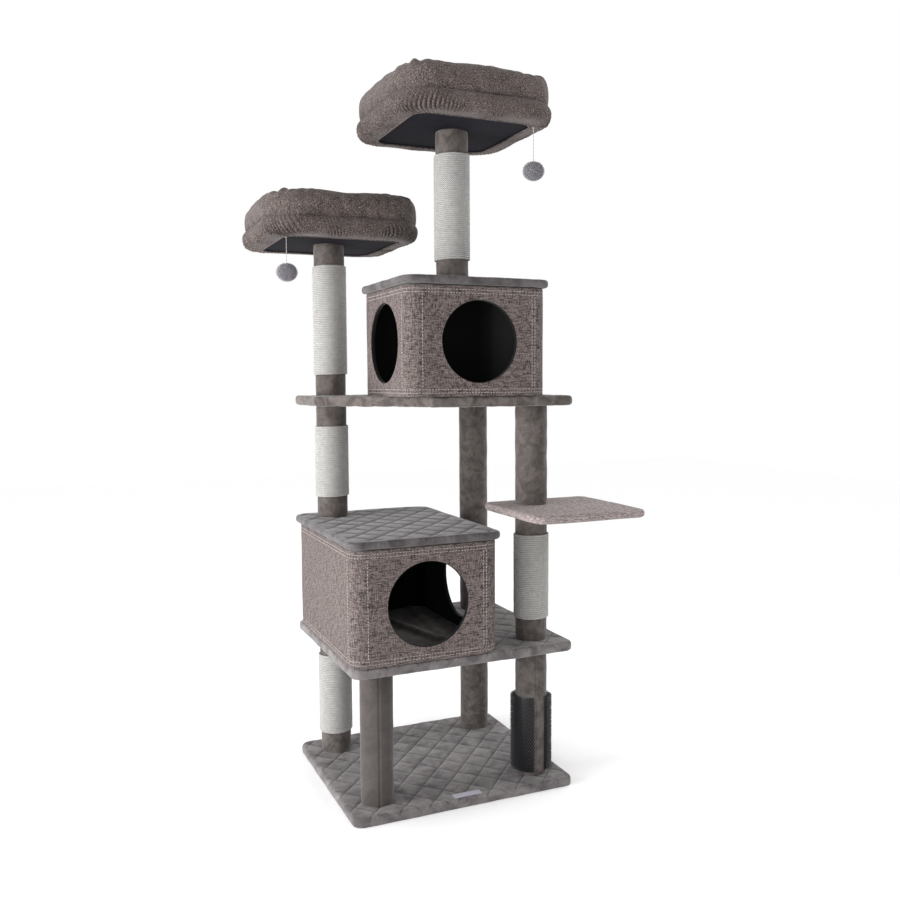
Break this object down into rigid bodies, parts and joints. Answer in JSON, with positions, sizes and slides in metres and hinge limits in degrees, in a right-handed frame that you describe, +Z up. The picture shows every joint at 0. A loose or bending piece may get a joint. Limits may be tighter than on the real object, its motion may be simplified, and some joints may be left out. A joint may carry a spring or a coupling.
{
  "type": "cat tree",
  "caption": "Tall cat tree of wrapped shelves on sisal and plush posts, with cloth condos, padded beds, a side step, a brush and hanging pom-poms.",
  "frame": {"origin": "centre of the base board's underside, which stands on the floor", "axes": "+Z up, +X to the right and +Y to the back as seen from the front, where the doorways of both condos face"},
  "size_m": [0.847, 0.788, 1.806],
  "materials": {
    "plush": "matte",
    "quilted_plush": "matte",
    "linen": "matte",
    "bed_cloth": "matte",
    "felt": "matte",
    "mat_plush": "matte",
    "sisal": "matte",
    "particle_board": "matte",
    "black_board": "matte",
    "panel_card": "matte",
    "soft_foam": "matte",
    "paper_tube": "matte",
    "plug_plastic": "matte",
    "zinc_steel": "satin",
    "brush_plastic": "matte",
    "pom_pom": "matte",
    "string": "matte",
    "tag_cloth": "matte"
  },
  "bodies": {
    "tree": {"base_board": "particle_board", "base_cover": "quilted_plush", "middle_shelf_board": "particle_board", "middle_shelf_cover": "quilted_plush", "upper_shelf_board": "particle_board", "upper_shelf_cover": "plush", "step_board": "particle_board", "step_cover": "linen", "lower_condo_front_panel": "panel_card", "lower_condo_back_panel": "panel_card", "lower_condo_left_panel": "panel_card", "lower_condo_right_panel": "panel_card", "lower_condo_corner_foam": "soft_foam", "lower_condo_cloth": "linen", "lower_condo_lining": "felt", "lower_condo_mat": "mat_plush", "lower_condo_lid_board": "particle_board", "lower_condo_lid_cover": "quilted_plush", "upper_condo_front_panel": "panel_card", "upper_condo_back_panel": "panel_card", "upper_condo_left_panel": "panel_card", "upper_condo_right_panel": "panel_card", "upper_condo_corner_foam": "soft_foam", "upper_condo_cloth": "linen", "upper_condo_lining": "felt", "upper_condo_lid_board": "particle_board", "upper_condo_lid_cover": "quilted_plush", "left_bed_board": "black_board", "left_bed_roll": "bed_cloth", "left_bed_pad": "bed_cloth", "top_bed_board": "black_board", "top_bed_roll": "bed_cloth", "top_bed_pad": "bed_cloth", "front_left_post_cover": "plush", "back_left_post_cover": "plush", "front_right_post_cover": "plush", "back_right_post_cover": "plush", "condo_post_cover": "plush", "step_lower_post_cover": "plush", "step_upper_post_cover": "plush", "tall_back_post_cover": "plush", "left_bed_post_cover": "plush", "top_bed_post_cover": "plush", "back_left_rope": "sisal", "condo_post_rope": "sisal", "step_post_rope": "sisal", "left_bed_rope": "sisal", "top_bed_rope": "sisal", "post_tubes": "paper_tube", "post_plugs": "plug_plastic", "post_bolts": "zinc_steel", "post_studs": "zinc_steel", "grooming_brush": "brush_plastic", "woven_tag": "tag_cloth"},
    "left_toy_knot": {"left_toy_knot": "string"},
    "left_toy_hanging": {"left_toy_string": "string", "left_toy_ball": "pom_pom"},
    "top_toy_knot": {"top_toy_knot": "string"},
    "top_toy_hanging": {"top_toy_string": "string", "top_toy_ball": "pom_pom"}
  },
  "joints": [
    {"name": "left_toy_swing_sideways", "type": "hinge", "parent": "tree", "child": "left_toy_knot", "pos_m": [-0.362, 0.0575, 1.4257], "axis": [0, 1, 0], "range_deg": [-40, 40]},
    {"name": "left_toy_swing_forward", "type": "hinge", "parent": "left_toy_knot", "child": "left_toy_hanging", "pos_m": [-0.362, 0.0575, 1.4257], "axis": [1, 0, 0], "range_deg": [-40, 40]},
    {"name": "top_toy_swing_sideways", "type": "hinge", "parent": "tree", "child": "top_toy_knot", "pos_m": [0.189, -0.2395, 1.6787], "axis": [0, 1, 0], "range_deg": [-40, 40]},
    {"name": "top_toy_swing_forward", "type": "hinge", "parent": "top_toy_knot", "child": "top_toy_hanging", "pos_m": [0.189, -0.2395, 1.6787], "axis": [1, 0, 0], "range_deg": [-40, 40]}
  ]
}
